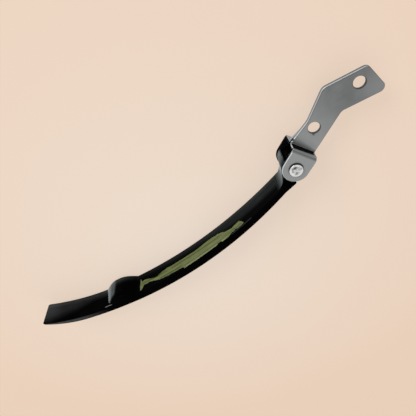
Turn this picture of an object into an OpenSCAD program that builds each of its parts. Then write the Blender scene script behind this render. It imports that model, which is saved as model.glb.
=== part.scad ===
// Pivoting timing chain guide: a curved rubber-faced arm that swings on a riveted pin
// between the two ears of a pressed steel bracket. Origin at the main bolt hole, on the
// face that seats on the engine. +X runs from the arm's free end to the bracket, +Z along
// the bolts. The arm's back is its hollow side, and the chain runs on its face.

/* [Bracket] */
// Thickness of the pressed sheet
sheet_t = 2; // [1.5:0.1:2.5]
// Diameter of both bolt holes, for M6 bolts
bolt_hole_d = 6.5; // [6.2:0.1:7]
// Width of the neck and of the ears
neck_w = 15; // [14:0.5:17]
// Slope of the neck
neck_angle = 25; // [20:1:30]
// Pivot from the main bolt hole, along X
pivot_x = -50; // [-56:0.5:-46]
// Pivot from the main bolt hole, along Y
pivot_y = -15.5; // [-18:0.5:-13]
// Second bolt hole from the pivot, along the neck
second_hole_u = 22.4; // [21:0.1:24]
// Second bolt hole from the neck's middle line
second_hole_v = 0.6; // [-0.5:0.1:1]
// Slope of the pad around the main bolt hole
pad_angle = -12; // [-18:1:-6]
// Main bolt hole to the pad's upper edge
pad_top = 6.5; // [6:0.1:9]
// Main bolt hole to the pad's lower edge
pad_low = 10; // [8:0.1:12]
// Main bolt hole to the pad's end
pad_end = 8; // [7:0.1:12]
// Slope of the pad's end, from square to X
pad_end_angle = 6.5; // [0:0.5:12]
// Radius of the pad's corners
pad_r = 3; // [1:0.25:4]
// Radius of the outer corner of the elbow
elbow_r = 5; // [2:0.5:6]
// Radius of the inner corner of the elbow
elbow_in_r = 4.5; // [2:0.5:6]
// Waist from the pivot, along the neck
waist_u = 23.9; // [22:0.1:26]
// Waist from the neck's middle line
waist_v = 5.8; // [5.2:0.1:6.4]
// Slope of the edge from the waist to the elbow
shoulder_angle = 33; // [28:1:38]
// Radius of the waist
waist_r = 15; // [6:1:20]

/* [Clevis] */
// Gap between the ears
ear_gap = 14.6; // [14.4:0.1:16]
// Pivot to the outer face of the step that carries an ear
web_reach = 10; // [9.8:0.1:11]
// Inside radius of the bends
bend_r = 0.6; // [0.4:0.1:1]
// Length of the rear ear's flange behind the bracket
flange_len = 8; // [5:0.25:8.5]
// Narrowing of that flange on each side
flange_taper = 2; // [1.5:0.25:3]
// Radius of the flange's corners
flange_r = 0.75; // [0.5:0.25:2.5]

/* [Pivot pin] */
// Diameter of the barrel that the arm turns on
pin_d = 8; // [7:0.1:8.4]
// Diameter of the riveted ends
tenon_d = 6; // [5:0.1:6.4]
// Diameter of the riveted heads
head_d = 7.8; // [7.2:0.1:9]
// Height of the riveted heads
head_h = 1.2; // [1:0.1:1.6]
// Radius of the heads' edges
head_edge_r = 0.9; // [0.3:0.1:1]
// Depth of the dish in each head
dish_depth = 0.35; // [0.1:0.05:0.5]
// Radius of the dish's ball
dish_ball_r = 4; // [3:0.25:6]
// Running clearance between the barrel and the eye, on the radius
pin_clear = 0.06; // [0.03:0.01:0.1]
// Clearance between a riveted end and its ear, on the radius
tenon_clear = 0.05; // [0.02:0.01:0.1]

/* [Steel strip] */
// Thickness of the strip
strip_t = 1.5; // [1.2:0.05:1.7]
// Width of the strip and its eye
strip_w = 14; // [12:0.1:14.2]
// Gap where the rolled eye closes on the strip
eye_slit = 1; // [0.5:0.1:1.2]

/* [Arm] */
// Length of the arm, pivot to free end along X
arm_len = 196.5; // [192:0.5:197]
// Width of the rubber
arm_w = 17.5; // [16:0.1:20]
// Thickness of the arm at its lowest point
arm_t = 5.4; // [5:0.1:6.5]
// Rubber skin over the back of the strip
skin_t = 0.5; // [0.4:0.05:0.8]
// Rubber around the eye
boss_t = 1.6; // [1:0.1:1.8]
// Pivot to the lowest point of the back, along X
back_mid = 79; // [77:0.5:81]
// Pivot to the lowest point of the back, along Y
back_drop = 12.8; // [12.5:0.1:13.2]
// Radius of the back
back_r = 300; // [297:1:304]
// Radius of the back at the free end
tip_back_r = 145; // [140:1:150]
// Start of the free end's radius on the back, from the pivot along X
tip_back_from = 153; // [150:1:156]
// Pivot to the lowest point of the face, along X
face_mid = 81; // [80:0.5:83]
// Radius of the face
face_r = 258; // [255:1:262]
// Radius of the face at the free end
tip_face_r = 72; // [68:1:80]
// Start of the free end's radius on the face, from the pivot along X
tip_face_from = 171; // [169:1:174]
// Rubber past the end of the strip
tip_cover = 11; // [9:0.5:16]
// Room around the ears, cut into the arm's sides
ear_room = 1.5; // [1:0.1:3]
// Radius of the hollow that runs from the back up to the boss
heel_r = 12; // [8:0.5:14]
// Start of the chin that runs from the face to the boss, from the pivot along X
chin_from = 12.7; // [11:0.1:16]

/* [Plunger bump] */
// Near foot of the bump, from the pivot along X
bump_at = 130.9; // [129:0.1:136]
// Length of the bump at its foot
bump_len = 24.6; // [23:0.1:28]
// Height of the bump
bump_h = 5; // [3:0.1:6]
// Run of the slope that faces the pivot
bump_near = 6.6; // [5:0.1:7]
// Length of the flat top before its corners are rounded
bump_top = 10.2; // [8:0.1:11]
// Radius of the top's corners
bump_r = 8; // [3:0.25:9]

/* [Bare window] */
// Near end of the bare part of the strip, from the pivot along X
window_near = 44; // [40:1:50]
// Far end of the bare part of the strip, from the pivot along X
window_far = 128; // [120:1:129]
// Side of the window toward the bolt heads, from the arm's middle plane
window_front = 6.4; // [4:0.1:6.6]
// Side of the window toward the engine, from the arm's middle plane
window_rear = -1.8; // [-4:0.1:0]
// Depth of the ragged tail at the far end, past the window's sides
window_tail = 2; // [0:0.1:2.2]
// Width of the neck between the tail and the window
window_neck = 3.5; // [2:0.25:6]
// Taper of the window at each end
window_taper = 18; // [12:1:24]

/* [Hidden] */
$fn = 96;
arc_fn = 720;
blend = 0.005;                // rounds run this far past the edges that they touch
lap = 1;                      // pieces of one solid run into each other by this much
reach = 400;                  // longer than the part, for cutting shapes
above = 60;                   // higher than the arm, for cutting shapes

pivot = [pivot_x, pivot_y];
ear_in = ear_gap / 2;
ear_out = ear_in + sheet_t;
bend_out_r = bend_r + sheet_t;
flat_from = web_reach + bend_r;
eye_in_r = pin_d / 2 + pin_clear;
eye_out_r = eye_in_r + strip_t;
boss_r = eye_out_r + boss_t;
relief_r = neck_w / 2 + ear_room;
strip_out = skin_t + strip_t;

function unit(v) = v / norm(v);
function along(angle) = [cos(angle), sin(angle)];
function across(angle) = [-sin(angle), cos(angle)];
function wrap(list, i) = list[(i + len(list)) % len(list)];
// Point p seen from the pivot, along and across the neck, and the slope of an edge seen so
function in_neck(p) = [(p - pivot) * along(neck_angle), (p - pivot) * across(neck_angle)];
function neck_slope(angle) = angle - neck_angle;

// Crossing of two lines, each given by a point and its slope
function crossing(p, a, q, b) = p + along(a) * ((q - p) * across(b)) / (along(a) * across(b));

// Point a little way past the end of a line
function past(from, end) = end + (end - from) / 5;

// Lower point of a circle at x, and the free end's circle that carries a circle on from there
function arc_point(c, r, x) = [x, c.y - sqrt(r * r - pow(x - c.x, 2))];
function next_centre(c, j, r) = j + r * unit(c - j);

back_c = [-back_mid, back_r - back_drop];
back_j = arc_point(back_c, back_r, -tip_back_from);
tip_back_c = next_centre(back_c, back_j, tip_back_r);
face_c = [-face_mid, face_r - back_drop - arm_t];
face_j = arc_point(face_c, face_r, -tip_face_from);
tip_face_c = next_centre(face_c, face_j, tip_face_r);
tip_point = arc_point(tip_back_c, tip_back_r, -arm_len);
strip_end = arc_point(tip_back_c, tip_back_r, tip_cover - arm_len);
heel_c = heel_centre(boss_r + heel_r, back_r - heel_r);
eye_slope = atan2(back_c.y, back_c.x) - 90;
eye_strip_y = norm(back_c) - back_r - skin_t;

// Point on the arm's side that is r_boss from the pivot and r_back from the back's centre
function heel_centre(r_boss, r_back) =
    let (d = norm(back_c), a = (d * d + r_boss * r_boss - r_back * r_back) / (2 * d))
    a * unit(back_c) + sqrt(r_boss * r_boss - a * a) * [-back_c.y, back_c.x] / d;

function back_point(x) = arc_point(back_c, back_r, -x);
function face_point(x) = arc_point(face_c, face_r, -x);

// Point where a line from p runs into the boss, on the side of the arm's face
function boss_touch(p) =
    let (r = boss_r - boss_t / 4) r * along(atan2(p.y, p.x) + acos(r / norm(p)));

// Polygon with rounded corners: a radius over 0 rounds an outer corner, under 0 an inner one
module rounded(points, radii) {
    difference() {
        union() {
            polygon(points);
            corners(points, radii, -1);
        }
        corners(points, radii, 1);
    }
}

module corners(points, radii, side) {
    for (i = [0:len(points) - 1])
        if (radii[i] * side > 0)
            corner(points[i], wrap(points, i - 1), wrap(points, i + 1), abs(radii[i]));
}

// Piece between the corner at p and a round that touches the edges from p to a and to b
module corner(p, a, b, r) {
    half = acos(unit(a - p) * unit(b - p)) / 2;
    c = p + unit(unit(a - p) + unit(b - p)) * r / sin(half);
    ends = [for (q = [a, b]) p + unit(q - p) * r / tan(half)];
    difference() {
        polygon([past(c, p), past(c, ends[0]), c, past(c, ends[1])]);
        translate(c) circle(r + blend);
    }
}

module at_pivot() {
    translate(pivot) children();
}

module along_neck() {
    at_pivot() rotate(neck_angle) children();
}

// Step from the flat sheet up to an ear, with its two bends
module step() {
    run = web_reach - sheet_t - bend_r - lap;
    points = [
        [flat_from + lap, 0], [flat_from + lap, sheet_t], [web_reach, sheet_t], [web_reach, ear_out],
        [run, ear_out], [run, ear_in], [web_reach - sheet_t, ear_in], [web_reach - sheet_t, 0]
    ];
    along_neck() rotate([90, 0, 0]) linear_extrude(neck_w, center = true)
        rounded(points, [0, 0, -bend_r, bend_out_r, 0, 0, -bend_r, bend_out_r]);
}

// Round-ended ear with the hole for the riveted end
module ear() {
    along_neck() translate([0, 0, ear_in]) linear_extrude(sheet_t) difference() {
        union() {
            circle(neck_w / 2);
            translate([0, -neck_w / 2]) square([web_reach - sheet_t - bend_r, neck_w]);
        }
        circle(tenon_d / 2 + tenon_clear);
    }
}

// Flat of the front stamping, along and across the neck from the pivot
module bracket_outline() {
    pad = neck_slope(pad_angle);
    end = neck_slope(pad_end_angle);
    main = in_neck([0, 0]);
    top_at = main + pad_top * across(pad);
    low_at = main - pad_low * across(pad);
    end_at = main + pad_end * along(end);
    waist = [waist_u, waist_v];
    points = [
        [flat_from, -neck_w / 2],
        crossing([flat_from, -neck_w / 2], 0, low_at, pad),
        crossing(low_at, pad, end_at, end + 90),
        crossing(top_at, pad, end_at, end + 90),
        crossing(waist, neck_slope(shoulder_angle), top_at, pad),
        waist,
        [flat_from, neck_w / 2]
    ];
    difference() {
        rounded(points, [0, -elbow_in_r, pad_r, pad_r, elbow_r, -waist_r, 0]);
        translate(main) circle(bolt_hole_d / 2);
        translate([second_hole_u, second_hole_v]) circle(bolt_hole_d / 2);
    }
}

// Front stamping: the pad, the neck, the step and the front ear
module bracket_plate() {
    color("#85898b") union() {
        along_neck() linear_extrude(sheet_t) bracket_outline();
        step();
        ear();
    }
}

module flange_outline() {
    end = web_reach + flange_len;
    narrow = neck_w / 2 - flange_taper;
    points = [[flat_from, -neck_w / 2], [end, -narrow], [end, narrow], [flat_from, neck_w / 2]];
    rounded(points, [0, flange_r, flange_r, 0]);
}

// Rear stamping: the rear ear, its step and the flange on the back of the bracket
module rear_ear_plate() {
    color("#7d8183") mirror([0, 0, 1]) union() {
        along_neck() linear_extrude(sheet_t) flange_outline();
        step();
        ear();
    }
}

// Half of the pin's section, from its middle to the riveted head
module pin_section() {
    points = [
        [0, 0], [pin_d / 2, 0], [pin_d / 2, ear_in], [tenon_d / 2, ear_in], [tenon_d / 2, ear_out],
        [head_d / 2, ear_out], [head_d / 2, ear_out + head_h], [0, ear_out + head_h]
    ];
    rounded(points, [0, 0, 0, 0, 0, 0, head_edge_r, 0]);
}

module pivot_pin() {
    dish_z = ear_out + head_h - dish_depth + dish_ball_r;
    color("#d0d2d3") at_pivot() difference() {
        union() for (side = [0, 1]) mirror([0, 0, side]) rotate_extrude() pin_section();
        for (side = [-1, 1]) translate([0, 0, side * dish_z]) sphere(dish_ball_r);
    }
}

// Half plane on the pivot's side of the line from p to c
module beside(p, c) {
    translate(p) rotate(atan2(c.y - p.y, c.x - p.x))
        translate([-reach, -reach]) square([2 * reach, reach]);
}

// Area inside the main arc and the free end's arc, both grown by the same amount
module hollow(c, r, j, tip_c, tip_r, grow) {
    intersection() {
        translate(c) circle(r + grow, $fn = arc_fn);
        beside(j, c);
    }
    translate(tip_c) circle(tip_r + grow + blend, $fn = arc_fn);
}

module inside_face() {
    hollow(face_c, face_r, face_j, tip_face_c, tip_face_r, 0);
}

module inside_back(grow = 0) {
    hollow(back_c, back_r, back_j, tip_back_c, tip_back_r, grow);
}

// Stretch of the arm from the pivot to the line that is square to the back at its end
module stretch(end) {
    intersection() {
        beside(end, tip_back_c);
        translate([-reach, -above]) square([reach, above + end.y + arm_t]);
    }
}

// Strip with the eye that is rolled from its end
module strip_outline() {
    difference() {
        union() {
            intersection() {
                difference() {
                    inside_back(strip_out);
                    inside_back(skin_t);
                }
                stretch(strip_end);
            }
            difference() {
                circle(eye_out_r);
                rotate(eye_slope) translate([-eye_out_r, eye_strip_y - strip_t / 2])
                    square([eye_out_r, eye_slit + strip_t / 2]);
            }
        }
        circle(eye_in_r);
    }
}

module backing_strip() {
    color("#6e7436") at_pivot() linear_extrude(strip_w, center = true) strip_outline();
}

// Bump that the tensioner's plunger presses on
module bump_outline() {
    foot = back_point(bump_at);
    middle = back_point(bump_at + bump_len / 2);
    slope = atan2(middle.y - back_c.y, middle.x - back_c.x) + 90;
    near = [-bump_near, bump_h];
    far = [-bump_near - bump_top, bump_h];
    points = [past(near, [0, 0]), near, far, past(far, [-bump_len, 0])];
    translate(foot) rotate(slope) rounded(points, [0, bump_r, bump_r, 0]);
}

module arm_outline() {
    intersection() {
        difference() {
            inside_face();
            inside_back();
        }
        stretch(tip_point);
    }
    bump_outline();
}

// Rubber under the hollow that touches the back and the boss
module heel_outline() {
    on_boss = heel_c * boss_r / (boss_r + heel_r);
    on_back = heel_c + heel_r * unit(heel_c - back_c);
    difference() {
        polygon([past(heel_c, on_boss), past(heel_c, back_point(boss_r)), past(heel_c, on_back), heel_c]);
        translate(heel_c) circle(heel_r + blend);
    }
}

// Pivot end of the rubber, no wider than the strip, so that it goes between the ears
module boss_outline() {
    chin = face_point(chin_from);
    touch = boss_touch(chin);
    intersection() {
        arm_outline();
        circle(relief_r + lap);
    }
    circle(boss_r);
    heel_outline();
    polygon([touch / 2, (back_point(chin_from) + chin) / 2, past(touch, chin), touch]);
}

// Bare part of the strip, seen square to its back, with the tail that reaches the bump
module window_outline() {
    middle = (window_front + window_rear) / 2;
    neck_at = window_far - window_taper / 4;
    polygon([
        [-window_far, window_rear - window_tail], [-window_far, window_front + window_tail / 2],
        [-neck_at, middle + window_neck / 2], [window_taper - window_far, window_front],
        [-window_near - window_taper, window_front], [-window_near, window_front - lap],
        [-window_near, window_front - 2 * lap], [-window_near - window_taper, window_rear],
        [window_taper - window_far, window_rear], [-neck_at, middle - window_neck / 2]
    ]);
}

module window_cut() {
    intersection() {
        linear_extrude(arm_w, center = true) difference() {
            inside_back(skin_t);
            inside_back(-lap);
        }
        rotate([90, 0, 0]) linear_extrude(2 * above, center = true) window_outline();
    }
}

// Rubber moulded over the strip: the chain's face, the sides, the skin, the bump and the boss
module rubber_shoe() {
    color("#191a1b") at_pivot() difference() {
        union() {
            linear_extrude(arm_w, center = true) difference() {
                arm_outline();
                circle(relief_r);
            }
            linear_extrude(strip_w, center = true) boss_outline();
        }
        linear_extrude(strip_w, center = true) strip_outline();
        cylinder(h = arm_w, r = eye_in_r + strip_t / 2, center = true);
        window_cut();
    }
}

bracket_plate();
rear_ear_plate();
pivot_pin();
backing_strip();
rubber_shoe();
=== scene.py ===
import math

import bmesh
import bpy
from mathutils import Matrix, Vector, noise


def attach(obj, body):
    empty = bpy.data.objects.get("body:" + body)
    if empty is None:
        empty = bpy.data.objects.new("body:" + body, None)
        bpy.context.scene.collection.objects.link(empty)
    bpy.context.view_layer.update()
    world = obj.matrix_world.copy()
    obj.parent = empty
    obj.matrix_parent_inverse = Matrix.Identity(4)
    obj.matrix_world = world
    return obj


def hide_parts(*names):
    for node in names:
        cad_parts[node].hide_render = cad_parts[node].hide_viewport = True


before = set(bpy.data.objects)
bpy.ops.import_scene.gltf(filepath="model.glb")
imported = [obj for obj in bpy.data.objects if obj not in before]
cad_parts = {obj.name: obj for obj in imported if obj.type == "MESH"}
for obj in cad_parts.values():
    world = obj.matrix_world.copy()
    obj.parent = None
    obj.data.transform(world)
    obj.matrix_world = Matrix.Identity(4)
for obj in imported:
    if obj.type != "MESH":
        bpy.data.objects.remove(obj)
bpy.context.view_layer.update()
mm = 0.001
neckSlope = math.radians(25)  # of the bracket's neck, in the plate
neckAxis = Vector((math.cos(neckSlope), math.sin(neckSlope), 0.0))
neckSide = neckAxis.cross(Vector((0, 0, 1)))  # square to the neck, in the plate
pinSpot = Vector((-50.0, -15.5, 0.0))  # pin axis from the main bolt hole, in mm
print("frame loaded:", len(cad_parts), "solids")


# small tools for shapes

def place(x, y, z):  # millimetres from the pin axis to metres in the part's frame
    return (Vector((x, y, z)) + pinSpot) * mm


def lerp(a, b, t):
    return a + (b - a) * t


def smooth(low, high, value):
    t = min(1.0, max(0.0, (value - low) / (high - low)))
    return t * t * (3 - 2 * t)


def along(steps, x):
    # a value given at a few places, from the highest to the lowest, with straight runs between
    for (x0, v0), (x1, v1) in zip(steps, steps[1:]):
        if x >= x1:
            return lerp(v0, v1, min(1.0, max(0.0, (x - x0) / (x1 - x0))))
    return steps[-1][1]


def addObject(name, mesh, *materials):
    piece = bpy.data.objects.new(name, mesh)
    bpy.context.scene.collection.objects.link(piece)
    mesh.materials.clear()
    for material in materials:
        mesh.materials.append(material)
    return piece


def setMask(mesh, name, values):
    mask = mesh.attributes.new(name, "FLOAT", "POINT")
    for k, value in enumerate(values):
        mask.data[k].value = value


def shadeSoft(mesh, angle):
    mesh.shade_smooth()
    mesh.set_sharp_from_angle(angle=math.radians(angle))


def closedSkin(name, rings, capStart, capEnd):
    # quads between rings of equal length, with a fan of triangles over each end
    mesh = bpy.data.meshes.new(name)
    count = len(rings[0])
    points = [point for ring in rings for point in ring]
    faces = []
    for row in range(len(rings) - 1):
        for col in range(count):
            after = (col + 1) % count
            a, b = row * count, (row + 1) * count
            faces.append((a + col, a + after, b + after, b + col))
    for cap, row in ((capStart, 0), (capEnd, len(rings) - 1)):
        points.append(cap)
        hub = len(points) - 1
        for col in range(count):
            edge = (row * count + col, row * count + (col + 1) % count)
            faces.append((hub, edge[1], edge[0]) if row == 0 else (hub, edge[0], edge[1]))
    mesh.from_pydata(points, [], faces)
    fixNormals(mesh)
    return mesh


def fixNormals(mesh):
    bm = bmesh.new()
    bm.from_mesh(mesh)
    bmesh.ops.recalc_face_normals(bm, faces=bm.faces)
    bm.to_mesh(mesh)
    bm.free()


def sharpEdges(bm, angle):
    limit = math.radians(angle)
    return [e for e in bm.edges if len(e.link_faces) == 2 and e.calc_face_angle() > limit]


def lathe(name, profile, steps):
    # a closed outline of (radius, height) turned about the pin's axis
    mesh = bpy.data.meshes.new(name)
    points = []
    for step in range(steps):
        turn = 2 * math.pi * step / steps
        for radius, height in profile:
            points.append(place(radius * math.cos(turn), radius * math.sin(turn), height))
    count = len(profile)
    faces = []
    for step in range(steps):
        a, b = step * count, ((step + 1) % steps) * count
        for k in range(count):
            after = (k + 1) % count
            faces.append((a + k, b + k, b + after, a + after))
    mesh.from_pydata(points, [], faces)
    bm = bmesh.new()
    bm.from_mesh(mesh)
    bmesh.ops.remove_doubles(bm, verts=bm.verts, dist=1e-7)
    bmesh.ops.dissolve_degenerate(bm, edges=bm.edges, dist=1e-8)
    bmesh.ops.recalc_face_normals(bm, faces=bm.faces)
    bm.to_mesh(mesh)
    bm.free()
    return mesh


# small tools for finishes

def scaled(tone, share):
    return tuple(c * share for c in tone)


class Finish:
    def __init__(self, name):
        self.material = bpy.data.materials.new(name)
        self.material.use_nodes = True
        self.tree = self.material.node_tree
        self.shader = self.tree.nodes["Principled BSDF"]

    def node(self, kind, **settings):
        made = self.tree.nodes.new(kind)
        for key, value in settings.items():
            setattr(made, key, value)
        return made

    def link(self, source, target):
        self.tree.links.new(source, target)

    def spot(self):
        return self.node("ShaderNodeTexCoord").outputs["Object"]

    def stretched(self, spot, scale, turn=(0, 0, 0)):
        mapping = self.node("ShaderNodeMapping")
        mapping.inputs["Scale"].default_value = scale
        mapping.inputs["Rotation"].default_value = turn
        self.link(spot, mapping.inputs["Vector"])
        return mapping.outputs["Vector"]

    def grain(self, spot, scale, detail=4.0, rough=0.55):
        texture = self.node("ShaderNodeTexNoise")
        texture.inputs["Scale"].default_value = scale
        texture.inputs["Detail"].default_value = detail
        texture.inputs["Roughness"].default_value = rough
        self.link(spot, texture.inputs["Vector"])
        return texture.outputs["Fac"]

    def ranged(self, value, low, high, newLow, newHigh):
        step = self.node("ShaderNodeMapRange")
        for key, number in (("From Min", low), ("From Max", high), ("To Min", newLow), ("To Max", newHigh)):
            step.inputs[key].default_value = number
        self.link(value, step.inputs["Value"])
        return step.outputs["Result"]

    def math(self, operation, first, second):
        step = self.node("ShaderNodeMath", operation=operation)
        for socket, value in zip(step.inputs, (first, second)):
            if isinstance(value, (int, float)):
                socket.default_value = value
            else:
                self.link(value, socket)
        return step.outputs["Value"]

    def mix(self, factor, first, second):
        step = self.node("ShaderNodeMix", data_type="RGBA")
        self.link(factor, step.inputs["Factor"])
        for side, value in (("A", first), ("B", second)):
            socket = [s for s in step.inputs if s.name == side and s.type == "RGBA"][0]
            if isinstance(value, tuple):
                socket.default_value = (*value, 1.0)
            else:
                self.link(value, socket)
        return [s for s in step.outputs if s.type == "RGBA"][0]

    def dot(self, spot, axis):
        step = self.node("ShaderNodeVectorMath", operation="DOT_PRODUCT")
        step.inputs[1].default_value = axis
        self.link(spot, step.inputs[0])
        return step.outputs["Value"]

    def away(self, spot, middle):
        step = self.node("ShaderNodeVectorMath", operation="DISTANCE")
        step.inputs[1].default_value = middle
        self.link(spot, step.inputs[0])
        return step.outputs["Value"]

    def masked(self, name):
        return self.node("ShaderNodeAttribute", attribute_name=name).outputs["Fac"]

    def bump(self, height, strength, distance):
        step = self.node("ShaderNodeBump")
        step.inputs["Strength"].default_value = strength
        step.inputs["Distance"].default_value = distance
        self.link(height, step.inputs["Height"])
        self.link(step.outputs["Normal"], self.shader.inputs["Normal"])

    def colour(self, value):
        self.link(value, self.shader.inputs["Base Color"])

    def rough(self, value):
        self.link(value, self.shader.inputs["Roughness"])

    def fixed(self, **values):
        for key, value in values.items():
            self.shader.inputs[key.replace("_", " ")].default_value = value


plateTones = {  # mm along the neck, across it and up, from the main bolt hole
    # base tone, and the pale tone of the painted highlight on the rolled edges
    "base": (0.206, 0.212, 0.209), "edge": (0.66, 0.68, 0.69),
    "neck": (-9.0, -36.0), "neckShade": 1.72,  # painted light: the neck is paler towards the step
    "pad": (-12.0, 0.0), "padAcross": (-3.0, 10.0), "padShade": 1.35,  # and painted light makes the end of the pad paler too
    # shade beside the step, longer on its upper side
    "shadeFrom": -41.8, "shadeZ": (3.0, 4.0), "shadeAcross": (-14.0, -2.0), "shadeReach": (5.2, 1.8),
    # painted shade on the ear's outer bend, and a fine painted dark line along it
    "bend": (-44.1, -42.5), "bendZ": (6.4, 7.0),
    "lineZ": 8.6, "lineHalf": (0.2, 0.6), "lineEnd": (-44.4, -44.0),
    # a small darker spot under the second bolt hole, and painted shadow round the rivet head, lying to its
    # upper side: place, full reach, end, strength, shade
    "marks": (((-32.2, -8.4, 2.0), 0.3, 1.1, 0.7, 0.2), ((-49.7, -15.18, 9.3), 3.8, 4.2, 0.9, 0.06))}


def satinSteel(name):
    # pressed sheet with a satin skin: cloudy tone, fine rolling lines, paler rolled edges as painted
    # highlight, and painted light and shade over the neck, the step and the ear
    look = Finish(name)
    spot = look.spot()
    tones, base = plateTones, plateTones["base"]
    run, across, tall = [look.dot(spot, axis / mm) for axis in (neckAxis, neckSide, Vector((0, 0, 1)))]
    cloud = look.grain(spot, 90.0, 3.0)
    lines = look.grain(look.stretched(spot, (250, 2600, 2600), (0, 0, neckSlope)), 1.0, 3.0)
    pits = look.grain(spot, 1500.0, 2.0, 0.7)
    tone = look.mix(look.ranged(cloud, 0.35, 0.65, 0.0, 1.0), scaled(base, 0.86), scaled(base, 1.1))
    tone = look.mix(look.ranged(lines, 0.3, 0.75, 0.0, 0.3), tone, scaled(base, 0.72))
    tone = look.mix(look.ranged(pits, 0.64, 0.72, 0.0, 0.45), tone, scaled(base, 0.5))
    # painted light: paler along the neck towards the step, and at the end of the pad
    tone = look.mix(look.ranged(run, *tones["neck"], 0.0, 0.9), tone, scaled(base, tones["neckShade"]))
    padEnd = look.math("MULTIPLY", look.ranged(across, *tones["padAcross"], 0.0, 0.8),
                       look.ranged(run, *tones["pad"], 0.0, 1.0))
    tone = look.mix(padEnd, tone, scaled(base, tones["padShade"]))
    # painted shade beside the step and on the ear's outer bend
    reach = look.ranged(across, *tones["shadeAcross"], *tones["shadeReach"])
    shade = look.math("DIVIDE", look.math("SUBTRACT", run, tones["shadeFrom"]), reach)
    shade = look.math("MULTIPLY", look.ranged(shade, 1.0, 0.0, 0.0, 0.72),
                      look.ranged(tall, *tones["shadeZ"], 1.0, 0.0))
    bend = look.math("MULTIPLY", look.ranged(run, *tones["bend"], 0.0, 0.2),
                     look.ranged(tall, *tones["bendZ"], 0.0, 1.0))
    tone = look.mix(look.math("MAXIMUM", shade, bend), tone, scaled(base, 0.12))
    # a fine painted dark line along the bend
    offLine = look.math("ABSOLUTE", look.math("SUBTRACT", tall, tones["lineZ"]), 0.0)
    bendLine = look.math("MULTIPLY", look.ranged(offLine, *tones["lineHalf"], 0.6, 0.0),
                         look.ranged(run, *tones["lineEnd"], 0.0, 1.0))
    tone = look.mix(bendLine, tone, scaled(base, 0.3))
    # a small darker spot, and painted shadow round the rivet head
    for middle, full, end, strength, dark in tones["marks"]:
        near = look.ranged(look.away(spot, Vector(middle) * mm), full * mm, end * mm, strength, 0.0)
        tone = look.mix(near, tone, scaled(base, dark))
    # painted highlight on the rolled edges that face the light, broken up by the cloud
    paleShare = look.math("MULTIPLY", look.masked("edgeHighlight"), look.ranged(cloud, 0.3, 0.6, 0.7, 1.0))
    tone = look.mix(paleShare, tone, tones["edge"])
    # painted shade on the faces marked dark
    look.colour(look.mix(look.masked("darkTone"), tone, scaled(base, 0.12)))
    look.rough(look.ranged(lines, 0.3, 0.7, 0.4, 0.52))
    look.bump(look.math("ADD", look.math("MULTIPLY", lines, 0.5), pits), 0.12, 0.0002)
    look.fixed(Metallic=0.55)
    return look.material


def shadedSteel(name):
    # painted shade: a near-black, patchy film for the inside of the fork and the step's dark band, where
    # shadow falls
    look = Finish(name)
    spot = look.spot()
    film = look.grain(spot, 400.0, 4.0)
    patches = look.ranged(film, 0.35, 0.7, 0.0, 1.0)
    look.colour(look.mix(patches, (0.0018, 0.0019, 0.0018), (0.006, 0.0062, 0.006)))
    look.rough(look.ranged(film, 0.3, 0.7, 0.6, 0.8))
    look.bump(film, 0.1, 0.0002)
    look.fixed(Specular_IOR_Level=0.02)
    return look.material


def brightSteel(name):
    # turned and peened rivet: cloudy steel, a painted highlight on the rim, and painted shade under the head
    # and in the dish
    look = Finish(name)
    spot = look.spot()
    cloud = look.grain(spot, 900.0, 3.0)
    dents = look.grain(spot, 350.0, 2.0)
    tone = look.mix(look.ranged(cloud, 0.35, 0.65, 0.0, 1.0), (0.44, 0.44, 0.43), (0.92, 0.92, 0.91))
    # painted highlight on the rim
    tone = look.mix(look.masked("rim"), tone, (0.98, 0.98, 0.97))
    # painted shadow under the head and painted shade in the dish
    tone = look.mix(look.masked("rivetShade"), tone, (0.012, 0.012, 0.013))
    look.colour(tone)
    look.rough(look.ranged(cloud, 0.3, 0.7, 0.24, 0.38))
    look.bump(look.math("ADD", dents, look.math("MULTIPLY", cloud, 0.3)), 0.25, 0.0002)
    look.fixed(Metallic=0.8)
    return look.material


def mouldedRubber(name):
    # hard black rubber: fine moulded skin, a soft gloss, and a painted slate sheen where the mesh carries it
    # in its sheen mask
    look = Finish(name)
    spot = look.spot()
    cloud = look.grain(spot, 60.0, 5.0, 0.6)
    drag = look.grain(look.stretched(spot, (60, 900, 900)), 1.0, 4.0)
    skin = look.grain(spot, 2200.0, 3.0, 0.6)
    paleShare = look.ranged(cloud, 0.4, 0.75, 0.0, 1.0)
    tone = look.mix(paleShare, (0.0004, 0.0004, 0.0003), (0.0011, 0.0012, 0.0011))
    # painted sheen from the mesh, broken up by the cloud and the drag lines
    paintedSheen = look.math("MULTIPLY", look.masked("sheen"), look.ranged(cloud, 0.3, 0.7, 0.55, 0.83))
    paintedSheen = look.math("MULTIPLY", paintedSheen, look.ranged(drag, 0.3, 0.7, 0.85, 1.15))
    warm = look.ranged(look.dot(spot, (1, 0, 0)), -0.203, -0.22, 0.0, 1.0)  # less blue by the free end
    slate = look.mix(warm, (0.555, 0.605, 0.605), (0.58, 0.607, 0.585))
    look.colour(look.mix(paintedSheen, tone, slate))
    look.rough(look.ranged(cloud, 0.3, 0.75, 0.24, 0.36))
    look.bump(skin, 0.1, 0.0001)
    look.fixed(Specular_IOR_Level=0.005)
    return look.material


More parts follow.
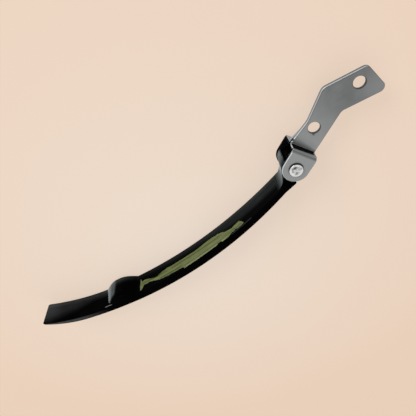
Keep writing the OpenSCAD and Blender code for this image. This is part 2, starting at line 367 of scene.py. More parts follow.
def olivePaint(name):
    # thin green primer on the strip: streaked along its length, with darker runs and a scuffed front edge
    look = Finish(name)
    spot = look.spot()
    streak = look.grain(look.stretched(spot, (70, 900, 900)), 1.0, 5.0, 0.6)
    cloud = look.grain(spot, 220.0, 4.0)
    speck = look.grain(spot, 2400.0, 2.0, 0.7)
    tone = look.mix(look.ranged(streak, 0.35, 0.65, 0.0, 1.0), (0.1, 0.118, 0.033), (0.172, 0.19, 0.068))
    tone = look.mix(look.masked("streakTone"), tone, (0.056, 0.068, 0.01))
    tone = look.mix(look.ranged(cloud, 0.55, 0.7, 0.0, 0.35), tone, (0.052, 0.06, 0.017))
    tone = look.mix(look.masked("paleEdge"), tone, (0.29, 0.315, 0.175))
    tone = look.mix(look.ranged(speck, 0.66, 0.74, 0.0, 0.5), tone, (0.035, 0.04, 0.016))
    look.colour(tone)
    look.rough(look.ranged(streak, 0.3, 0.7, 0.42, 0.6))
    look.bump(look.math("ADD", streak, look.math("MULTIPLY", speck, 0.4)), 0.15, 0.0002)
    look.fixed(Specular_IOR_Level=0.2)
    return look.material


plateSteel = satinSteel("satinPlate")
paintedShadePlate = shadedSteel("shadedPlate")
rivetSteel = brightSteel("peenedRivet")
shoeRubber = mouldedRubber("blackRubber")
stripPaint = olivePaint("olivePrimer")
print("finishes made")


# bracket stampings: the solids with their edges rolled over

stamping = {  # mm from the pin, along the neck, across it and up
    "edgeRound": 0.85, "rounds": 4, "backRound": 0.3, "backRounds": 2, "piece": 1.2, "sharperThan": 35,
    "webIn": 8.4, "webOut": 9.6, "webRound": 1.5, "earIn": 7.4, "wallLow": 1.9, "wallHigh": 7.0,
    "forkEnd": 14.0, "holes": ((50.0, 15.5), (20.05, 10.01)), "holeReach": 3.7,
    "bandLow": (-7.5, 7.2), "bandHigh": (7.5, 5.6), "bandEnd": 6.3}  # the step's band of painted shade: its edge and end
faceTones = {  # how pale each kind of face is, as painted highlight, and how dark, as painted shade that on the rolled rims also stands for burrs
    "plain": (0.0, 0.0), "forkInside": (0.0, 1.0), "forkWall": (0.0, 1.0), "flange": (0.6, 0.0),
    "stepSide": (0.95, 0.0), "stepBand": (0.0, 1.0), "stepFace": (0.0, 0.3), "holeWall": (0.0, 0.88),
    "plateWall": (0.0, 0.2), "plateRim": (0.0, 0.55), "plateRound": (0.42, 0.0),
    "earRim": (0.0, 0.2), "earRound": (0.85, 0.0), "underRound": (0.0, 0.15)}
blackOver = 0.9  # a face darker than this takes the near-black finish of painted shade


def onBand(spot):
    # the band of painted shade on the step narrows towards its lower side and stops short of it
    low, high = Vector(stamping["bandLow"]), Vector(stamping["bandHigh"])
    across = spot.dot(neckSide)
    edge = lerp(low.y, high.y, (across - low.x) / (high.x - low.x))
    return across < stamping["bandEnd"] and spot.z < edge


def nearHole(spot):
    return any((spot.xy - Vector(hole)).length < stamping["holeReach"] for hole in stamping["holes"])


def faceKind(face, rolled):
    # which part of a stamping a face is, from where it lies and which way it looks
    middle = face.calc_center_median() / mm - pinSpot
    normal = face.normal
    run = middle.dot(neckAxis)
    facing = normal.dot(neckAxis)
    sideways = abs(normal.dot(neckSide))
    if run < stamping["webIn"] and abs(middle.z) < stamping["earIn"] and sideways < 0.6:
        return "forkInside"
    if run > stamping["webOut"] and facing > 0.5 and stamping["wallLow"] < middle.z < stamping["wallHigh"]:
        if sideways > 0.3:
            return "stepSide"
        return "stepBand" if onBand(middle) else "stepFace"
    if nearHole(middle) and abs(normal.z) < 0.7:
        return "holeWall"
    if middle.z < 0 and run > stamping["webOut"] and (rolled or sideways > 0.5 or facing > 0.5):
        return "flange"
    inFork = run < stamping["forkEnd"]
    if rolled and inFork and middle.z < 0 and normal.z > -0.3:
        return "forkInside"
    if abs(normal.z) < 0.25 and sideways > 0.5:
        return "forkWall" if inFork else "plateWall"
    if rolled and normal.z > 0.9:
        return "earRim" if inFork else "plateRim"
    if rolled and normal.y > -0.1:
        return "earRound" if inFork else "plateRound"
    return "underRound" if rolled else "plain"


def frontEdge(edge):
    # edges of the sheet's front side and of the step's outer face, away from the bolt holes
    middle = (edge.verts[0].co + edge.verts[1].co) / 2 / mm - pinSpot
    fronts, walls = [], []
    for face in edge.link_faces:
        if face.normal.z > 0.9 or face.normal.dot(neckAxis) > 0.9 and middle.z > 0:
            fronts.append(face)
        elif face.normal.y > -0.2:
            walls.append(face)
    return len(fronts) == 1 and len(walls) == 1 and not nearHole(middle)


def hardEdges(bm, wanted):
    return [edge for edge in sharpEdges(bm, stamping["sharperThan"]) if wanted(edge)]


def rollEdges(bm, mark, width, segments, wanted):
    for edge in hardEdges(bm, wanted):  # short pieces, so that a round keeps its form along a straight edge
        bmesh.ops.bisect_edges(bm, edges=[edge], cuts=int(edge.calc_length() / mm / stamping["piece"]))
    # not clamped, because the short pieces of an arc would shrink the round
    rolled = bmesh.ops.bevel(bm, geom=hardEdges(bm, wanted), offset=width * mm, segments=segments,
                             profile=0.5, affect="EDGES", clamp_overlap=False)
    for face in rolled["faces"]:
        face[mark] = 1


def cutAcross(bm, parts, spot, normal):
    bmesh.ops.bisect_plane(bm, geom=parts, dist=1e-7, plane_co=(pinSpot + spot) * mm, plane_no=normal)


def onStep(face):
    middle = face.calc_center_median()
    near = (middle / mm - pinSpot).dot(neckAxis) < stamping["webOut"] + stamping["webRound"]
    return near and middle.z > 0 and face.normal.dot(neckAxis) > 0.9


def splitBand(bm):
    # cut the step's face along the band's edge and its end
    low, high = Vector(stamping["bandLow"]), Vector(stamping["bandHigh"])
    slope = (high - low).normalized()
    cuts = ((neckSide * low.x + Vector((0, 0, low.y)), neckSide * -slope.y + Vector((0, 0, slope.x))),
            (neckSide * stamping["bandEnd"], neckSide))
    for spot, normal in cuts:
        step = [f for f in bm.faces if onStep(f)]
        parts = {*step, *(e for f in step for e in f.edges), *(v for f in step for v in f.verts)}
        cutAcross(bm, list(parts), spot, normal)


def easedStamping(nodeName, pieceName, rolledFront):
    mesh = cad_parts[nodeName].data.copy()
    mesh.name = pieceName
    bm = bmesh.new()
    bm.from_mesh(mesh)
    edgeHighlight = bm.faces.layers.float.new("edgeHighlight")
    darkTone = bm.faces.layers.float.new("darkTone")
    mark = bm.faces.layers.int.new("rolledEdge")
    bmesh.ops.remove_doubles(bm, verts=bm.verts, dist=1e-6)
    bmesh.ops.dissolve_limit(bm, angle_limit=math.radians(0.6), verts=bm.verts, edges=bm.edges)
    if rolledFront:
        rollEdges(bm, mark, stamping["edgeRound"], stamping["rounds"], frontEdge)
    else:  # part the flange's walls from the ear's, which lie in the dark
        cutAcross(bm, [*bm.verts, *bm.edges, *bm.faces], neckAxis * stamping["webOut"], neckAxis)
    rollEdges(bm, mark, stamping["backRound"], stamping["backRounds"], lambda edge: True)
    splitBand(bm)
    bmesh.ops.recalc_face_normals(bm, faces=bm.faces)
    # painted highlight and painted shade for each face, by its kind
    for face in bm.faces:
        face[edgeHighlight], face[darkTone] = faceTones[faceKind(face, face[mark] == 1)]
    bm.to_mesh(mesh)
    bm.free()
    mesh.shade_smooth()
    piece = addObject(pieceName, mesh, plateSteel, paintedShadePlate)
    # faces painted darker than blackOver take the near-black finish of painted shade
    for face, tone in zip(mesh.polygons, mesh.attributes["darkTone"].data):
        face.material_index = 1 if tone.value > blackOver else 0
    weighted = piece.modifiers.new("flatFaces", "WEIGHTED_NORMAL")
    weighted.weight = 100
    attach(piece, "bracket")
    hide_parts(nodeName)


easedStamping("bracket_plate", "frontStamping", True)
easedStamping("rear_ear_plate", "rearStamping", False)
print("stampings eased")


# pivot rivet: turned barrel, a peened and dished head on each ear

rivet = {
    "barrelR": 4.0, "barrelHalf": 7.28, "barrelEdge": 0.2, "tenonR": 2.95, "steps": 64,
    "headR": 3.88, "headUnder": 9.32, "headTop": 10.45, "rimRound": 0.6,
    "underEdge": 0.25, "underRise": 0.12, "underIn": 0.08,
    "dishR": 2.6, "dishDeep": 0.75, "lip": 0.25, "lipRise": 0.02,
    # painted shadow goes up the head's side, and the rim gets a painted highlight
    "shadeFull": 0.8, "shadeEnd": 1.08, "shadeEdge": 0.3, "rimEdge": (-0.3, 0.1), "rimStrength": 0.8,
    # painted shade in the dish: x, y, reach, strength
    "dishShades": ((0.45, 1.75, 1.7, 0.9), (-0.7, 2.1, 1.3, 0.6), (-1.0, -1.7, 1.2, 0.35),
               (2.7, -0.5, 1.2, 0.5), (2.3, 0.9, 1.0, 0.35))}


def rivetProfile():
    half = []
    r = rivet
    for k in range(11):  # dish left by the ball punch
        radius = r["dishR"] * k / 10
        half.append((radius, r["headTop"] - r["dishDeep"] * (1 - (k / 10) ** 2)))
    half.append((r["dishR"] + r["lip"], r["headTop"] + r["lipRise"]))
    for k in range(7):  # rolled rim
        turn = math.radians(90 - 15 * k)
        half.append((r["headR"] - r["rimRound"] * (1 - math.cos(turn)),
                     r["headTop"] - r["lipRise"] - r["rimRound"] * (1 - math.sin(turn))))
    half.append((r["headR"] - r["underIn"], r["headUnder"] + r["underRise"]))
    half.append((r["headR"] - r["underEdge"], r["headUnder"]))
    half.append((r["tenonR"], r["headUnder"]))
    half.append((r["tenonR"], r["barrelHalf"]))
    half.append((r["barrelR"] - r["barrelEdge"], r["barrelHalf"]))
    half.append((r["barrelR"], r["barrelHalf"] - r["barrelEdge"]))
    return half + [(radius, -height) for radius, height in reversed(half)]


def rivetShadeAt(point):
    # painted shadow under the head and up its side, and painted shade in the dish
    spot = point / mm - pinSpot
    outside = smooth(rivet["dishR"], rivet["dishR"] + rivet["shadeEdge"], spot.xy.length)
    over = abs(spot.z) - rivet["headUnder"]
    rivetShade = outside * (1 - smooth(rivet["shadeFull"], rivet["shadeEnd"], over))
    for x, y, reach, strength in rivet["dishShades"]:
        away = (spot.xy - Vector((x, y))).length
        rivetShade = max(rivetShade, strength * (1 - smooth(0.2 * reach, reach, away)))
    return rivetShade


def rivetRimHighlight(point):
    # painted highlight on the head's rim, outside the dish
    reach = (point / mm - pinSpot).xy.length
    inner, outer = [rivet["dishR"] + edge for edge in rivet["rimEdge"]]
    return rivet["rimStrength"] * smooth(inner, outer, reach)


rivetMesh = lathe("pivotRivet", rivetProfile(), rivet["steps"])
setMask(rivetMesh, "rivetShade", [rivetShadeAt(vertex.co) for vertex in rivetMesh.vertices])
setMask(rivetMesh, "rim", [rivetRimHighlight(vertex.co) for vertex in rivetMesh.vertices])
shadeSoft(rivetMesh, 40)
rivetPiece = addObject("pivotRivet", rivetMesh, rivetSteel)
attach(rivetPiece, "bracket")
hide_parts("pivot_pin")
print("rivet turned")


# the arm's two long curves, each a big arc with a tighter one at the free end

armCurve = {"backMid": -79.0, "backDrop": 12.8, "backR": 300.0, "backTurn": -153.0, "backTipR": 145.0,
            "faceMid": -81.0, "faceDrop": 18.2, "faceR": 258.0, "faceTurn": -171.0, "faceTipR": 72.0,
            "faceLast": -199.0, "tip": -196.5}


def arcPair(mid, drop, radius, turn, tipRadius):
    centre = Vector((mid, radius - drop))
    joint = Vector((turn, centre.y - math.sqrt(radius ** 2 - (turn - mid) ** 2)))
    inner = joint + (centre - joint) * (tipRadius / radius)
    return (centre, radius, turn), (inner, tipRadius)


backArcs = arcPair(armCurve["backMid"], armCurve["backDrop"], armCurve["backR"],
                   armCurve["backTurn"], armCurve["backTipR"])
faceArcs = arcPair(armCurve["faceMid"], armCurve["faceDrop"], armCurve["faceR"],
                   armCurve["faceTurn"], armCurve["faceTipR"])


def curvePoint(arcs, x):
    centre, radius = arcs[0][:2] if x > arcs[0][2] else arcs[1]
    return Vector((x, centre.y - math.sqrt(radius ** 2 - (x - centre.x) ** 2)))


def backNormal(x):
    centre, radius = backArcs[0][:2] if x > backArcs[0][2] else backArcs[1]
    return (centre - curvePoint(backArcs, x)) / radius


# rubber shoe: a rounded bar swept along the arm, its back worked as a fine surface

shoe = {"halfWidth": 8.75, "backRound": 0.6, "faceRound": 0.35, "roundShare": 0.42, "skin": 0.5,
        "endBack": -8.05, "endFace": -4.6, "fanFrom": -16.0, "chinX": -12.7,
        "endCorner": 0.6, "cornerRun": 1.2, "pivotEase": 0.3, "pivotRun": 0.6,
        "backSteps": 78, "sideSteps": 4, "faceSteps": 11, "roundSteps": 5,
        # spacing of the cross sections as far as each x
        "pitch": ((-20.0, 0.3), (-41.0, 0.6), (-131.0, 0.4), (-160.0, 0.45), (-999.0, 0.8))}
heel = {"half": 7.12, "bossR": 7.15, "lowR": 6.0, "lowFrom": (5, 25), "lipAngle": 107, "lipRun": 3,
        "hollowR": 12.0, "boreR": 5.4, "footDeep": 1.2, "chinDeep": 0.3, "edge": 0.3, "edgeSteps": 3,
        "sharperThan": 60, "bossSteps": 96, "hollowSteps": 24, "boreSteps": 64,
        # shares of the half width where the painted sheen may change
        "levels": (-1.0, -0.9, -0.45, -0.2, 0.0, 0.2, 0.45, 0.65, 0.8, 0.92, 1.0)}
bumpForm = {"start": -130.9, "nearRun": 11.0, "crest": -144.4, "height": 5.0, "frontEase": 1.0,
            # the far foot leans, then curls in
            "foot": -155.4, "footLean": 0.2, "curlFrom": 4.0, "footCurl": 5.0}
windowForm = {
    # (x, z) around the bare patch, from its far tail along the rear side and back along the front
    "points": [(-128.9, -5.0), (-127.9, -3.4), (-127.0, -1.0), (-126.1, -2.2), (-122.5, -1.4), (-119.0, 0.0),
               (-115.3, 0.8), (-112.5, -0.8), (-108.0, -1.9), (-84.0, -1.8), (-72.5, -2.9), (-64.5, -2.3),
               (-62.0, -1.4), (-58.6, 0.9), (-53.5, 2.1), (-47.3, 0.9), (-45.2, 3.2), (-43.6, 6.6),
               (-48.5, 6.9), (-50.2, 6.1), (-51.6, 6.8), (-53.2, 6.3), (-56.4, 8.1), (-61.2, 8.0),
               (-62.3, 6.8), (-64.6, 6.7), (-65.8, 7.6), (-86.5, 7.9), (-92.4, 8.2), (-93.8, 6.3),
               (-108.5, 5.8), (-112.0, 5.3), (-116.0, 3.9), (-120.5, 2.5), (-122.2, 3.0), (-125.0, 2.7),
               (-127.2, 6.3), (-128.2, 6.5), (-128.8, 3.0)],
    "first": -131.0, "last": -41.0, "ragged": 0.28, "wall": 0.16, "sink": 0.72}
flashLines = [  # thin moulding flash along the front edge: first x, last x, z, height, width, painted highlight
    (-54.0, -37.0, 8.2, 0.30, 0.22, 0.1), (-155.5, -149.5, 7.75, 0.28, 0.26, 0.75)]
flashEnds = 1.2  # mm over which a line of flash runs out
rubberSheen = {  # painted slate sheen on the black: each x with its strength, and with the z where it dies away
    "level": ((-8, 0.042), (-45, 0.038), (-76, 0.022), (-132, 0.008), (-141, 0.04), (-156, 0.045),
              (-164, 0.03), (-185, 0.045), (-196, 0.08)),
    "reach": ((-8, 1.0), (-50, 0.4), (-76, -3.4), (-132, -5.5), (-156, -3.5), (-166, -3.6),
              (-180, 0.2), (-192, 4.8)),
    "fade": (3.0, 5.5), "fadeRun": (-164, -176),  # it dies away more slowly by the free end
    "rearLift": 0.8, "rear": (-4, -7), "wall": 0.145, "wallRun": (-150, -185),
    "slope": 0.7, "slopeLow": (0.0, 0.6), "slopeTop": (0.75, 1.0), "slopeFront": (3.5, 6.5)}


def frontShare(z):
    # how far a place lies towards the front side, past where the bump starts to curl
    return max(0.0, z - bumpForm["curlFrom"]) / (shoe["halfWidth"] - bumpForm["curlFrom"])


def bumpFoot(z):
    lean = bumpForm["footLean"] * (z + shoe["halfWidth"])
    return bumpForm["foot"] + lean + bumpForm["footCurl"] * frontShare(z) ** 2


def bumpSlope(x, z):
    # share of the way up the far slope, from its foot
    foot = bumpFoot(z)
    return (x - foot) / (bumpForm["crest"] - foot)


def bumpHeight(x, z):
    near = (bumpForm["start"] - x) / bumpForm["nearRun"]
    share = math.sin(math.pi / 2 * min(1.0, max(0.0, min(near, bumpSlope(x, z)))))
    return share * (bumpForm["height"] - bumpForm["frontEase"] * frontShare(z) ** 2)


def sheenAt(x, z, depth):
    # painted sheen at a point of the shoe: on the back, on the front wall by the free end, on the bump's far
    # slope and on the flash lines
    paintedSheen = rubberSheen
    if depth > shoe["backRound"]:
        return paintedSheen["wall"] * smooth(*paintedSheen["wallRun"], x) if z > 0 else 0.0
    level, reach = along(paintedSheen["level"], x), along(paintedSheen["reach"], x)
    fade = lerp(*paintedSheen["fade"], smooth(*paintedSheen["fadeRun"], x))
    sheen = level * (1 - smooth(reach - fade, reach + fade, z))
    sheen += level * paintedSheen["rearLift"] * smooth(*paintedSheen["rear"], z)
    slope = bumpSlope(x, z)
    if 0 < slope < 1:
        fall = 0.25 + 0.75 * (1 - smooth(*paintedSheen["slopeLow"], slope))
        fall *= 1 - smooth(*paintedSheen["slopeTop"], slope)
        sheen += paintedSheen["slope"] * fall * (1 - smooth(*paintedSheen["slopeFront"], z))
    return sheen + sum(line[5] * min(1.0, 1.4 * flashShare(line, x, z)) for line in flashLines)


def flashShare(line, x, z):
    first, last, middle, _, width, _ = line
    run = smooth(first, first + flashEnds, x) * (1 - smooth(last - flashEnds, last, x))
    return run * max(0.0, 1 - abs(z - middle) / width)


def flashHeight(x, z):
    return sum(line[3] * flashShare(line, x, z) for line in flashLines)


def windowDepth(x, z):
    # signed distance in mm, positive inside the bare patch, roughened along its edge
    outline = windowForm["points"]
    here = Vector((x, z))
    inside = False
    nearest = 1e9
    for k in range(len(outline)):
        a, b = Vector(outline[k]), Vector(outline[k - 1])
        span = b - a
        t = max(0.0, min(1.0, (here - a).dot(span) / span.length_squared))
        nearest = min(nearest, (here - a - span * t).length)
        if (a.y > z) != (b.y > z) and x < a.x + (z - a.y) * span.x / span.y:
            inside = not inside
    coarse = noise.noise(Vector((x * 0.55, z * 0.9, 3.0)))
    fine = noise.noise(Vector((x * 1.7, z * 1.9, 7.0)))
    return (nearest if inside else -nearest) + windowForm["ragged"] * (coarse + 0.6 * fine)


chinStart = curvePoint(faceArcs, shoe["chinX"])
chinTurn = math.atan2(chinStart.y, chinStart.x) + math.acos(heel["bossR"] / chinStart.length)
chinTouch = Vector((math.cos(chinTurn), math.sin(chinTurn))) * heel["bossR"]


def facePoint(x):
    # the running face, then the straight chin that touches the boss
    if x < chinStart.x:
        return curvePoint(faceArcs, max(x, armCurve["faceLast"]))
    return chinStart.lerp(chinTouch, (x - chinStart.x) / (chinTouch.x - chinStart.x))


def acrossFrom(x):
    # the face's point square across from the back's point at x, fanned out by the pivot
    start, normal = curvePoint(backArcs, x), backNormal(x)
    low, high = 0.0, 9.0
    for _ in range(30):
        middle = (low + high) / 2
        spot = start - normal * middle
        if spot.y > facePoint(spot.x).y:
            low = middle
        else:
            high = middle
    return start - normal * low


def sectionEnds(x):
    if x < shoe["fanFrom"]:
        return curvePoint(backArcs, x), acrossFrom(x)
    share = (x - shoe["fanFrom"]) / (shoe["endBack"] - shoe["fanFrom"])
    faceX = lerp(acrossFrom(shoe["fanFrom"]).x, shoe["endFace"], share)
    return curvePoint(backArcs, x), facePoint(faceX)


def straight(start, end, steps):
    return [tuple(lerp(a, b, k / steps) for a, b in zip(start, end)) for k in range(1, steps + 1)]


def quarterRound(z, depth, radius, first):
    # a quarter turn about (z, depth), from first degrees on
    turns = [math.radians(first + 90 * k / shoe["roundSteps"]) for k in range(1, shoe["roundSteps"] + 1)]
    return [(z + radius * math.sin(turn), depth - radius * math.cos(turn)) for turn in turns]


def crossSection(thick, half):
    # (z, depth, share of the back's relief) once around, from the back's rear side
    backR = min(shoe["backRound"], thick * shoe["roundShare"])
    faceR = min(shoe["faceRound"], thick * shoe["roundShare"])
    flat, side, deep = half - backR, half - faceR, thick - faceR
    loop = [(-flat, 0.0)]
    loop += straight((-flat, 0.0), (flat, 0.0), shoe["backSteps"])
    loop += quarterRound(flat, backR, backR, 0)
    loop += straight((half, backR), (half, deep), shoe["sideSteps"])
    loop += quarterRound(side, deep, faceR, 90)
    loop += straight((side, thick), (-side, thick), shoe["faceSteps"])
    loop += quarterRound(-side, deep, faceR, 180)
    loop += straight((-half, deep), (-half, backR), shoe["sideSteps"])
    loop += quarterRound(-flat, backR, backR, 270)[:-1]  # its last point is the loop's first
    return [(z, d, 1 - d / thick) for z, d in loop]


def stationList():
    stations = []
    x = shoe["endBack"]
    while x > armCurve["tip"]:
        stations.append(x)
        x -= next(pitch for limit, pitch in shoe["pitch"] if x > limit)
    stations.append(armCurve["tip"])
    return stations


def shoeRing(x):
    back, face = sectionEnds(x)
    thick = (face - back).length
    inward, normal = (face - back) / thick, backNormal(x)
    atTip = 1 - smooth(0.0, shoe["cornerRun"], x - armCurve["tip"])
    half = shoe["halfWidth"] - shoe["endCorner"] * atTip ** 2
    half -= shoe["pivotEase"] * smooth(shoe["pivotRun"], 0.0, shoe["endBack"] - x)
    ring = []
    for z, depth, share in crossSection(thick, half):
        lift = bumpHeight(x, z) + flashHeight(x, z)
        if depth == 0.0 and windowForm["first"] < x < windowForm["last"]:
            lift -= windowForm["sink"] * smooth(-windowForm["wall"], windowForm["wall"], windowDepth(x, z))
        spot = back + inward * depth + normal * lift * share
        ring.append(place(spot.x, spot.y, z))
        shoeSheen.append(sheenAt(x, z, depth))
    return ring


def ringMiddle(ring):
    return sum(ring, Vector()) / len(ring)


shoeSheen = []
rings = [shoeRing(x) for x in stationList()]
shoeMesh = closedSkin("rubberShoe", rings, ringMiddle(rings[0]), ringMiddle(rings[-1]))
setMask(shoeMesh, "sheen", shoeSheen)
print("shoe swept:", len(shoeMesh.polygons), "faces")


def hollowCentre():
    # middle of the hollow that touches both the boss and the back
    main = backArcs[0][0]
    fromPin, fromMain = heel["bossR"] + heel["hollowR"], armCurve["backR"] - heel["hollowR"]
    run = (main.length_squared + fromPin ** 2 - fromMain ** 2) / (2 * main.length)
    aside = Vector((-main.y, main.x)) / main.length
    return main / main.length * run + aside * math.sqrt(fromPin ** 2 - run ** 2)


hollowMid = hollowCentre()
hollowStart = math.atan2(-hollowMid.y, -hollowMid.x)  # turn where it leaves the boss
toBack = hollowMid - backArcs[0][0]
hollowEnd = math.atan2(toBack.y, toBack.x)  # turn where it meets the back


def bossRadius(angle):
    # the rolled end of the boss stands proud as far as its lip, and the rest lies lower between the ears
    lip = smooth(heel["lipAngle"] - heel["lipRun"], heel["lipAngle"], angle)
    low = smooth(*heel["lowFrom"], angle) * (1 - lip)
    return lerp(heel["bossR"], heel["lowR"], low)


def heelOutline():
    outline = []
    first, last = math.degrees(chinTurn), math.degrees(math.atan2(hollowMid.y, hollowMid.x))
    first -= 360 if first > 180 else 0
    for k in range(heel["bossSteps"] + 1):
        angle = lerp(first, last, k / heel["bossSteps"])
        turn = math.radians(angle)
        outline.append(Vector((math.cos(turn), math.sin(turn))) * bossRadius(angle))
    for k in range(1, heel["hollowSteps"] + 1):
        turn = lerp(hollowStart, hollowEnd, k / heel["hollowSteps"])
        outline.append(hollowMid + Vector((math.cos(turn), math.sin(turn))) * heel["hollowR"])
    foot = outline[-1]
    outline.append(Vector((foot.x, foot.y - heel["footDeep"])))
    outline.append(Vector((chinStart.x, chinStart.y + heel["chinDeep"])))
    return outline


heelPaintedSheen = {  # painted sheen on the heel, at shares along the hollow, from the bar up to the boss, and across it to its front side
    "level": ((1.0, 0.04), (0.9, 0.05), (0.8, 0.11), (0.6, 0.28), (0.5, 0.41), (0.4, 0.55), (0.3, 0.85),
              (0.1, 0.85), (0.04, 0.6), (0.0, 0.27)),
    "tilt": ((1.0, -0.7), (0.8, -0.45), (0.6, -0.15), (0.5, -0.1), (0.4, -0.5), (0.3, -0.8), (0.2, -0.8),
             (0.1, -0.1), (0.0, -0.45)),
    "edge": 0.7, "edgeSide": (0.8, 0.92), "edgeFrom": (0.5, 0.75), "edgeTo": (0.8, 0.9),
    "dark": 0.95, "darkRun": (0.25, 0.55), "darkSide": 0.75, "darkFade": 0.25, "darkTo": (0.55, 0.7),
    "bossDark": 0.75, "bossSide": (0.1, 0.85), "near": 0.7}  # mm from the hollow's face that count as on it


def heelSheen(spot):
    # painted sheen: the hollow catches the light where it turns up to the boss, and painted shade from the
    # ear keeps it off the front side
    paintedSheen = heelPaintedSheen
    if abs(spot.z) > heel["half"] - 0.02:
        return 0.0
    toSpot = spot.xy - hollowMid
    past = toSpot.length - heel["hollowR"]
    if abs(past) > paintedSheen["near"] and spot.length < heel["bossR"] - paintedSheen["near"]:
        return 0.0
    if spot.y < 0 and spot.x > chinStart.x and past > paintedSheen["near"]:
        return 0.0
    turn = math.atan2(toSpot.y, toSpot.x)
    share = min(1.0, max(0.0, (turn - hollowStart) / (hollowEnd - hollowStart)))
    onBoss = math.degrees(math.atan2(spot.y, spot.x))
    if share == 0.0 and not heel["lipAngle"] < onBoss < 180:
        return 0.0
    side = spot.z / heel["half"]
    lean = max(0.2, 1 + along(paintedSheen["tilt"], share) * side)
    edge = smooth(*paintedSheen["edgeFrom"], share) * (1 - smooth(*paintedSheen["edgeTo"], share))
    lean += paintedSheen["edge"] * smooth(*paintedSheen["edgeSide"], side) * edge
    if share > 0:
        first, last = paintedSheen["darkRun"]
        dark = paintedSheen["darkSide"] * min(1.0, max(0.0, (share - first) / (last - first)))
        shaded = smooth(dark, dark + paintedSheen["darkFade"], side) * (1 - smooth(*paintedSheen["darkTo"], share))
        lean *= 1 - paintedSheen["dark"] * shaded
    else:
        lean *= 1 - paintedSheen["bossDark"] * smooth(*paintedSheen["bossSide"], side)
    return along(paintedSheen["level"], share) * lean


def addHeel(mesh):
    # boss and hollow between the ears, joined to the bar
    bm = bmesh.new()
    half = heel["half"]
    outer = [bm.verts.new(place(p.x, p.y, -half)) for p in heelOutline()]
    bore = []
    for k in range(heel["boreSteps"]):
        turn = 2 * math.pi * k / heel["boreSteps"]
        spot = Vector((math.cos(turn), math.sin(turn))) * heel["boreR"]
        bore.append(bm.verts.new(place(spot.x, spot.y, -half)))
    edges = []
    for loop in (outer, bore):
        for k in range(len(loop)):
            edges.append(bm.edges.new((loop[k - 1], loop[k])))
    bmesh.ops.triangle_fill(bm, edges=edges, use_beauty=True)
    top = list(bm.faces)
    for low, high in zip(heel["levels"], heel["levels"][1:]):
        raised = bmesh.ops.extrude_face_region(bm, geom=top)
        moved = [g for g in raised["geom"] if isinstance(g, bmesh.types.BMVert)]
        bmesh.ops.translate(bm, verts=moved, vec=(0, 0, (high - low) * half * mm))
        top = [g for g in raised["geom"] if isinstance(g, bmesh.types.BMFace)]
    bmesh.ops.recalc_face_normals(bm, faces=bm.faces)
    bmesh.ops.bevel(bm, geom=sharpEdges(bm, heel["sharperThan"]), offset=heel["edge"] * mm,
                    segments=heel["edgeSteps"], profile=0.5, affect="EDGES", clamp_overlap=False)
    heelPoints = len(bm.verts)
    bm.from_mesh(mesh)
    sheen = bm.verts.layers.float["sheen"]
    for vertex in list(bm.verts)[:heelPoints]:
        vertex[sheen] = heelSheen(vertex.co / mm - pinSpot)
    bm.to_mesh(mesh)
    bm.free()


addHeel(shoeMesh)
shadeSoft(shoeMesh, 38)
shoePiece = addObject("rubberShoe", shoeMesh, shoeRubber)
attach(shoePiece, "arm")
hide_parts("rubber_shoe")
print("heel added")


# painted strip: the solid keeps its shape, and a skin of primer on its bare patch carries runs and scuffs

primer = {"rear": -6.5, "front": 8.3, "stepX": 0.6, "stepZ": 0.25, "thick": 0.12, "lift": -0.02,
          # darker runs: first x, last x, z, half width, strength
          "runs": ((-106.0, -60.0, 0.5, 0.9, 1.5), (-130.0, -104.0, 0.4, 1.4, 1.0),
                   (-116.0, -92.0, 4.1, 1.1, 1.5), (-96.0, -57.0, 5.2, 0.7, 0.9),
                   (-101.0, -70.0, 2.7, 0.5, 0.6), (-62.0, -42.0, 4.6, 1.4, 0.8)),
          "runEnds": 5.0, "scuff": (-94.0, -56.0, 6.6, 0.65, 0.9), "rubbed": 0.6}


def runStrength(line, x, z):
    first, last, zMid, half, strength = line
    waver = 0.35 * noise.noise(Vector((x * 0.1, zMid, 1)))
    ends = smooth(first, first + primer["runEnds"], x) * (1 - smooth(last - primer["runEnds"], last, x))
    patchy = 0.75 + 0.5 * noise.noise(Vector((x * 0.35, z * 1.5, 17)))
    return strength * ends * patchy * (1 - smooth(0.25, 1.0, abs(z - zMid - waver) / half))


def rubbedEdge(x, z):
    # paint rubbed pale along the front of the bare patch
    ragged = noise.noise(Vector((x * 0.8, z * 1.2, 11)))
    edge = 1 - smooth(0.25, 1.0, windowDepth(x, z) + 0.35 * ragged)
    return primer["rubbed"] * edge * smooth(2.5, 4.5, z) * smooth(-0.35, 0.3, ragged + 0.25)


def primerSkin():
    first, last = windowForm["first"], windowForm["last"]
    cols = int((last - first) / primer["stepX"])
    rows = int((primer["front"] - primer["rear"]) / primer["stepZ"])
    rings, tones, pale = [], [], []
    for col in range(cols + 1):
        x = lerp(first, last, col / cols)
        start, normal = curvePoint(backArcs, x), backNormal(x)
        ring = []
        for side, order in ((primer["lift"], range(rows + 1)), (primer["thick"], range(rows, -1, -1))):
            for row in order:
                z = lerp(primer["rear"], primer["front"], row / rows)
                spot = start - normal * (shoe["skin"] + side)
                ring.append(place(spot.x, spot.y, z))
                tones.append(min(1.0, max(runStrength(line, x, z) for line in primer["runs"])))
                pale.append(max(rubbedEdge(x, z), runStrength(primer["scuff"], x, z)))
        rings.append(ring)
    mesh = closedSkin("stripPrimer", rings, ringMiddle(rings[0]), ringMiddle(rings[-1]))
    setMask(mesh, "streakTone", tones)
    setMask(mesh, "paleEdge", pale)
    shadeSoft(mesh, 40)
    return mesh


primerPiece = addObject("stripPrimer", primerSkin(), stripPaint)
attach(primerPiece, "arm")
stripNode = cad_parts["backing_strip"]
stripNode.data.materials.clear()
stripNode.data.materials.append(stripPaint)
print("strip painted")


# floor, light and camera

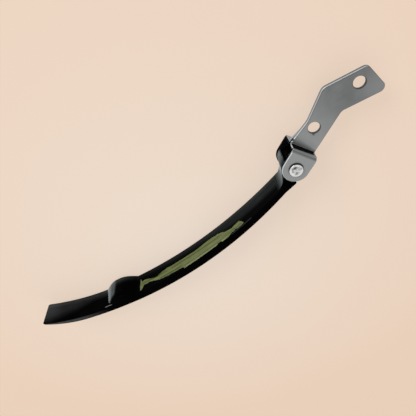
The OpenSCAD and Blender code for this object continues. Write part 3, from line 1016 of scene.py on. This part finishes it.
stage = {"floorZ": -10.6, "half": 900.0, "middle": (-142.0, -25.0), "spread": (15.0, 222.0),  # mm
         "tone": (0.875, 0.748, 0.64), "toneFar": (0.852, 0.658, 0.518),
         "bounce": (0.72, 0.72, 0.72), "glow": 0.7}


def floorFinish():
    # pale peach to the eye and plain pale grey to everything that the floor lights
    look = Finish("paleFloor")
    spot = look.spot()
    fine = look.grain(spot, 60.0, 3.0)
    path = look.node("ShaderNodeLightPath")
    away = look.away(spot, Vector((*stage["middle"], stage["floorZ"])) * mm)
    drift = look.math("ADD", away, look.math("MULTIPLY", look.grain(spot, 8.0, 2.0), 0.03))
    near, far = stage["spread"]
    peach = look.mix(look.ranged(drift, near * mm, far * mm, 0.0, 1.0), stage["tone"], stage["toneFar"])
    tone = look.mix(path.outputs["Is Camera Ray"], stage["bounce"], peach)
    look.colour(tone)
    look.rough(look.ranged(fine, 0.3, 0.7, 0.85, 0.95))
    look.fixed(Specular_IOR_Level=0.1)
    glow = look.node("ShaderNodeEmission")
    look.link(tone, glow.inputs["Color"])
    seen = look.math("MAXIMUM", path.outputs["Is Camera Ray"], path.outputs["Is Glossy Ray"])
    seen = look.math("MAXIMUM", seen, path.outputs["Is Transmission Ray"])
    blend = look.node("ShaderNodeMixShader")
    look.link(look.math("MULTIPLY", seen, stage["glow"]), blend.inputs["Fac"])
    look.link(look.shader.outputs["BSDF"], blend.inputs[1])
    look.link(glow.outputs["Emission"], blend.inputs[2])
    look.link(blend.outputs["Shader"], look.tree.nodes["Material Output"].inputs["Surface"])
    return look.material


def addFloor():
    mesh = bpy.data.meshes.new("floor")
    half, low = stage["half"] * mm, stage["floorZ"] * mm
    corners = [(-half, -half, low), (half, -half, low), (half, half, low), (-half, half, low)]
    mesh.from_pydata(corners, [], [(0, 1, 2, 3)])
    floor = addObject("floor", mesh, floorFinish())


lamps = {  # place and aim in mm, width in mm, power in watts
    "keySoft": ((-220, 1500, 900), (-110, -5, 0), 900, 14.0),
}
worldLight = {"tone": (1.0, 1.0, 1.0), "strength": 0.7}


def addLamp(name, spot, aim, width, power):
    lamp = bpy.data.lights.new(name, "AREA")
    lamp.shape = "DISK"
    lamp.size = width * mm
    lamp.energy = power
    holder = bpy.data.objects.new(name, lamp)
    holder.location = Vector(spot) * mm
    holder.rotation_euler = (Vector(aim) - Vector(spot)).to_track_quat("-Z", "Y").to_euler()
    bpy.context.scene.collection.objects.link(holder)


def addWorld():
    world = bpy.data.worlds.new("studio")
    world.use_nodes = True
    back = world.node_tree.nodes["Background"]
    back.inputs["Color"].default_value = (*worldLight["tone"], 1.0)
    back.inputs["Strength"].default_value = worldLight["strength"]
    bpy.context.scene.world = world


view = {"spot": (-12.31, 114.58, 206.47), "right": (0.7536, -0.6552, 0.0511),
        "back": (0.3596, 0.4762, 0.8025), "focal": 440.0, "picture": 416.0, "sensor": 36.0}  # mm and pixels


def addCamera():
    camera = bpy.data.cameras.new("viewer")
    camera.sensor_width = view["sensor"]
    camera.lens = view["focal"] / view["picture"] * view["sensor"]
    camera.clip_start = 0.001
    back = Vector(view["back"]).normalized()
    right = Vector(view["right"])
    right = (right - back * right.dot(back)).normalized()
    up = back.cross(right)
    turn = Matrix((right, up, back)).transposed().to_4x4()
    holder = bpy.data.objects.new("viewer", camera)
    holder.matrix_world = Matrix.Translation(Vector(view["spot"]) * mm) @ turn
    bpy.context.scene.collection.objects.link(holder)
    bpy.context.scene.camera = holder


addFloor()
for name, (spot, aim, width, power) in lamps.items():
    addLamp(name, spot, aim, width, power)
addWorld()
addCamera()
bpy.context.scene.view_settings.view_transform = "Standard"
print("stage lit")

bpy.context.view_layer.update()
